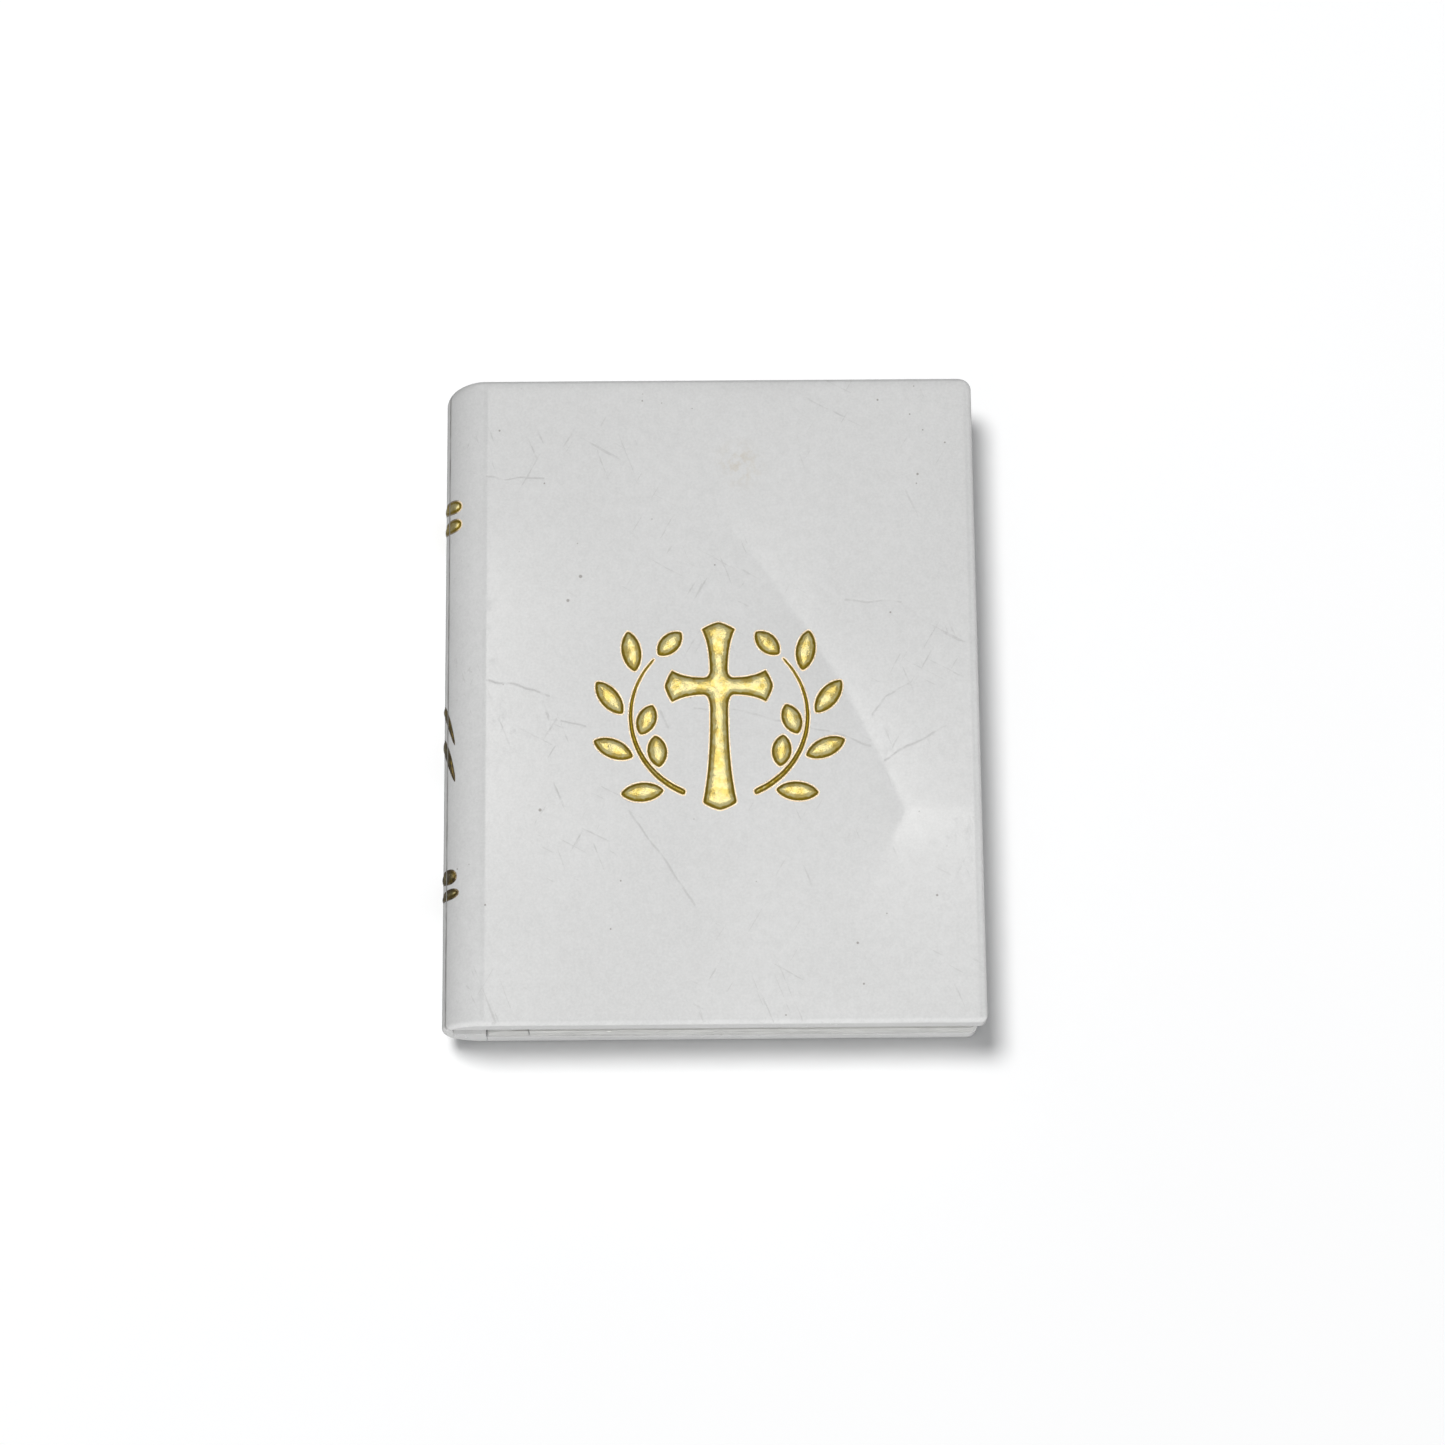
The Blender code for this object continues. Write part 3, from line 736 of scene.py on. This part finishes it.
def foil(node, body, outline, rim, place, limit, grid, material):
    """Foil over a raised, pillow-like shape. place turns (u, v, height) into a point."""
    edge, rest = foil_points(outline, rim, grid)
    points = [Vector(p) for p in np.vstack([edge, rest])]
    edges = [(i, (i + 1) % len(edge)) for i in range(len(edge))]
    flat, _, faces, *_ = delaunay_2d_cdt(points, edges, [], 1, 1e-6)
    flat = np.array([tuple(p) for p in flat])
    reach = distance_to(flat, rim)
    rise = np.clip((reach - FOIL_RIM) / FOIL_SHOULDER, 0, 1)
    height = FOIL_BASE + (FOIL_RISE - FOIL_BASE) * (1 - (1 - rise) ** FOIL_FULLNESS)
    height += FOIL_CROWN * np.sin(np.clip((reach - CROWN_START) / CROWN_REACH, 0, 1) * math.pi / 2)
    raised = []
    for (u, v), h, share in zip(flat, height, rise):
        dent = sum(noise.noise(Vector((u * often, v * often, seed))) * size for often, size, seed in FOIL_DENTS)
        raised.append(place(u, v, limit(u) / FOIL_RISE * (h + share * (dent - DENT_DEPTH))))
    faces = [tuple(f) for f in faces]
    piece = add_mesh(node + "_fine", raised, faces, material, body, [node], smooth_angle=80)
    attribute = piece.data.attributes.new("edge_mm", "FLOAT", "POINT")
    attribute.data.foreach_set("value", reach.astype(np.float32))


def on_cover(u, v, height):
    return (u, v, THICKNESS + height)


def cover_limit(u):
    """Height of the gold on the cover, which is the same everywhere."""
    return FOIL_RISE


def emblem(material):
    for node in sorted(frame["nodes"]):
        if node.startswith("emblem_"):
            outline = rounded(underside_outline(node))
            rim = evenly(outline, EMBLEM_OUTLINE_STEP)
            foil(node, "cover", outline, rim, on_cover, cover_limit, EMBLEM_GRID, material)


def on_spine(u, v, height):
    """u runs round the spine, from the middle of it upwards."""
    angle = u / ROUND
    radius = ROUND + height
    return (ROUND_X - radius * math.cos(angle), v, ROUND + radius * math.sin(angle))


def crease_limit(u):
    """Height of the gold on the spine. It is low near the crease, so that the cover can fold back."""
    away = abs(u - CREASE_ANGLE * ROUND)
    return min(SPINE_FOIL, CREASE_SLOPE * away + CREASE_CURVE * away**2)


def band_sides(node):
    """(distance round the spine, lower y, upper y) of a CAD spine ornament, at each of its stations."""
    rows = {}
    for vertex in frame["nodes"][node].data.vertices:
        x, y, z = (c / MM for c in vertex.co)
        angle = round(math.atan2(z - ROUND, ROUND_X - x), 2)
        low, high = rows.get(angle, (y, y))
        rows[angle] = (min(low, y), max(high, y))
    return [(angle * ROUND, *rows[angle]) for angle in sorted(rows)]


def band_outline(rows):
    """Closed outline up one side of the stations and down the other."""
    upper = [(u, high) for u, _, high in rows]
    lower = [(u, low) for u, low, _ in rows]
    return np.array(lower + upper[::-1])


def part_beside(rim, cut, side):
    """The stretch of the rim on one side of the crease, closed along the cut."""
    keep = rim[side * (rim[:, 0] - cut) > 0]
    ends = [y for u, y in keep if abs(u - cut) < CUT_REACH]
    low, high = min(ends), max(ends)
    jump = np.linalg.norm(np.diff(np.vstack([keep, keep[:1]]), axis=0), axis=1)
    run = np.roll(keep, -int(np.argmax(jump)) - 1, axis=0)
    first, last = (low, high) if abs(run[0, 1] - low) < abs(run[0, 1] - high) else (high, low)
    return np.vstack([[cut, first], run, [cut, last]])


def spine_ornament(place, material):
    """One ornament: its main piece on the spine and its tip on the front cover."""
    stations = band_sides("spine_gold_" + place) + band_sides("cover_gold_" + place)
    rim = evenly(rounded(band_outline(stations)), SPINE_OUTLINE_STEP)
    for side, body in ((-1, "book"), (1, "cover")):
        outline = part_beside(rim, CREASE_ANGLE * ROUND + side * HALF_ORNAMENT_GAP, side)
        node = ("spine_gold_" if body == "book" else "cover_gold_") + place
        foil(node, body, outline, rim, on_spine, crease_limit, SPINE_GRID, material)


# ---------------------------------------------------------------- the book
def dress(node, material):
    """A CAD node that stays as it is, with a better material."""
    piece = frame["nodes"][node]
    piece.data.materials.clear()
    piece.data.materials.append(material)


def book():
    # Back cover and spine shell get a painted brightening of their colour, against the shade near the floor
    plain = plastic("cover plastic", painted_lift=1.08)
    foil_gold = gold()
    leaf_paper = paper("leaf paper", (0.62, 0.62, 0.605), has_leaves=True)
    end_paper = paper("endpaper", (0.74, 0.735, 0.71), has_leaves=False)
    front_cover(plastic("cover plastic, front", marked=True))
    back_cover(plain)
    spine_shell(plain)
    for number in range(1, SECTIONS + 1):
        leaf_section(number, leaf_paper)
    paper_chip(end_paper)
    dress("flyleaf", end_paper)
    dress("front_paste_down", end_paper)
    dress("back_paste_down", end_paper)
    dress("binding_root", leaf_paper)
    dress("spine_lining", linen())
    hinge_film(bent_plastic())
    emblem(foil_gold)
    for place in ORNAMENTS:
        spine_ornament(place, foil_gold)


# ---------------------------------------------------------------- the studio
def flat_square(name, reach, material):
    """A level square that faces up, reach metres from its middle to each side."""
    mesh = bpy.data.meshes.new(name)
    corners = [(-reach, -reach, 0), (reach, -reach, 0), (reach, reach, 0), (-reach, reach, 0)]
    mesh.from_pydata(corners, [], [(0, 1, 2, 3)])
    mesh.materials.append(material)
    square = bpy.data.objects.new(name, mesh)
    bpy.context.collection.objects.link(square)
    return square


def floor():
    """The gold doesn't mirror the floor, so its slopes stay dark."""
    ground = flat_square("floor", FLOOR_REACH, floor_paper())
    ground.visible_glossy = False
    return ground


def card_pattern(n):
    """Brightness of the card, laid out in the millimetres of the cover that mirrors it."""
    even = n.fit(n.y, 26.0, -12.0, 1.1, 1.35)

    # Lighter strip beside the round of the spine
    away = n.math("MAXIMUM", n.math("SUBTRACT", n.x, STRIP_X), 0.0)
    fading = n.math("EXPONENT", n.product(away, STRIP_FADE))
    strip = n.product(fading, n.fit(n.y, 22.0, 8.0, 0.15, 1.0), n.fit(n.y, -24.0, -8.0, 0.2, 1.0))

    # Border of the facet: it bends to the right as it goes down, and turns back below its corner
    border = n.math("ADD", n.product(n.y, FACET_SLOPE), FACET_X)
    border = n.math("ADD", border, n.product(n.math("MULTIPLY", n.y, n.y), FACET_CURVE))
    back = n.math("ADD", n.product(n.y, FACET_RETURN_SLOPE), FACET_RETURN_X)
    across = n.math("SUBTRACT", n.x, n.math("MINIMUM", border, back))

    # Light just beyond the border, shade just before it, and a lighter patch below the corner
    fading = n.math("EXPONENT", n.product(n.math("MAXIMUM", across, 0.0), FACET_FADE))
    beyond = n.product(fading, n.fit(across, -0.05, 0.15), n.fit(n.y, 17.0, -6.0, 0.7, 2.2))
    beyond = n.product(beyond, n.fit(n.y, 20.0, 15.0), n.fit(n.y, -17.0, -12.5))
    fading = n.math("EXPONENT", n.product(n.math("MINIMUM", across, 0.0), SHADE_FADE))
    before = n.product(fading, n.fit(across, 0.15, -0.05), n.fit(n.y, 19.0, 12.0), n.fit(n.y, -17.0, -11.0))
    low = n.product(n.fit(n.y, LOW_TOP, LOW_TOP - 0.25), n.fit(n.y, -26.0, LOW_TOP), n.fit(across, 0.0, 0.8))

    light = n.math("ADD", even, n.product(strip, STRIP_LIGHT))
    light = n.math("ADD", light, beyond)
    light = n.math("SUBTRACT", light, n.product(before, SHADE_DEPTH))
    light = n.math("ADD", light, n.product(low, LOW_LIGHT))
    return n.product(light, n.fit(n.x, -21.9, -21.4), n.fit(n.x, 25.3, 24.8), n.fit(n.y, 31.3, 30.6))


def light_card():
    """Overhead panel that the cover's gloss and the top of the gold mirror."""
    n = Nodes("light card")
    strength = n.product(card_pattern(n), CARD_POWER)
    emission = n.add("ShaderNodeEmission", Color=(1.0, 0.99, 0.97), Strength=strength)
    n.tree.links.new(emission.outputs[0], n.tree.nodes["Material Output"].inputs["Surface"])
    card = flat_square("light_card", CARD_REACH, n.material)
    mirrored = Vector((CAMERA_PLACE.x, CAMERA_PLACE.y, 2 * THICKNESS - CAMERA_PLACE.z))
    spread = (CARD_HEIGHT - mirrored.z) / (THICKNESS - mirrored.z)
    card.scale = (spread, spread, 1.0)
    card.location = Vector((mirrored.x * (1 - spread), mirrored.y * (1 - spread), CARD_HEIGHT)) * MM
    card.visible_camera = False
    card.visible_shadow = False
    card.visible_diffuse = False


def area_light(name, place, size, power, shape, lights_only):
    """Lamp that faces the middle of the book and lights only the pieces it is given."""
    light = bpy.data.lights.new(name, "AREA")
    light.shape = shape
    light.size = size
    light.energy = power
    lamp = bpy.data.objects.new(name, light)
    bpy.context.collection.objects.link(lamp)
    lamp.location = place
    lamp.rotation_mode = "QUATERNION"
    lamp.rotation_quaternion = (-Vector(place)).to_track_quat("-Z", "Y")
    lamp.visible_glossy = False
    lamp.visible_camera = False
    receivers = bpy.data.collections.new(name + " receivers")
    for piece in lights_only:
        receivers.objects.link(piece)
    lamp.light_linking.receiver_collection = receivers
    return lamp


def world():
    """Dim room: a little light from above, less from the sides."""
    room = bpy.data.worlds.new("room")
    room.use_nodes = True
    nodes, links = room.node_tree.nodes, room.node_tree.links
    direction = nodes.new("ShaderNodeTexCoord").outputs["Generated"]
    split = nodes.new("ShaderNodeSeparateXYZ")
    height = nodes.new("ShaderNodeMapRange")
    links.new(direction, split.inputs[0])
    links.new(split.outputs["Z"], height.inputs["Value"])
    height.inputs["From Min"].default_value = ROOM_START
    height.inputs["From Max"].default_value = 1.0
    height.inputs["To Min"].default_value = ROOM_LOW
    height.inputs["To Max"].default_value = ROOM_HIGH
    links.new(height.outputs["Result"], nodes["Background"].inputs["Strength"])
    nodes["Background"].inputs["Color"].default_value = (0.98, 0.99, 1.0, 1.0)
    bpy.context.scene.world = room


def camera():
    lens = bpy.data.cameras.new("camera")
    lens.lens = LENS
    lens.sensor_width = SENSOR_WIDTH
    lens.clip_start = 0.01
    lens.clip_end = 20.0
    view = bpy.data.objects.new("camera", lens)
    bpy.context.collection.objects.link(view)
    turn = Matrix(CAMERA_AXES).transposed().to_4x4()
    view.matrix_world = Matrix.Translation(CAMERA_PLACE * MM) @ turn
    bpy.context.scene.camera = view


def studio():
    pieces = [piece for piece in bpy.data.objects if piece.type == "MESH"]
    ornaments = [piece for piece in pieces if "_gold_" in piece.name]
    ground = floor()
    light_card()
    area_light("key", KEY_PLACE, KEY_SIZE, KEY_POWER, "DISK", [ground])
    area_light("top", TOP_PLACE, TOP_SIZE, TOP_POWER, "SQUARE", pieces)
    area_light("fill", FILL_PLACE, FILL_SIZE, FILL_POWER, "SQUARE", pieces)
    glint = area_light("glint", GLINT_PLACE, GLINT_SIZE, GLINT_POWER, "DISK", ornaments)
    glint.visible_glossy = True
    world()
    camera()
    bpy.context.scene.view_settings.view_transform = "Standard"


book()
studio()
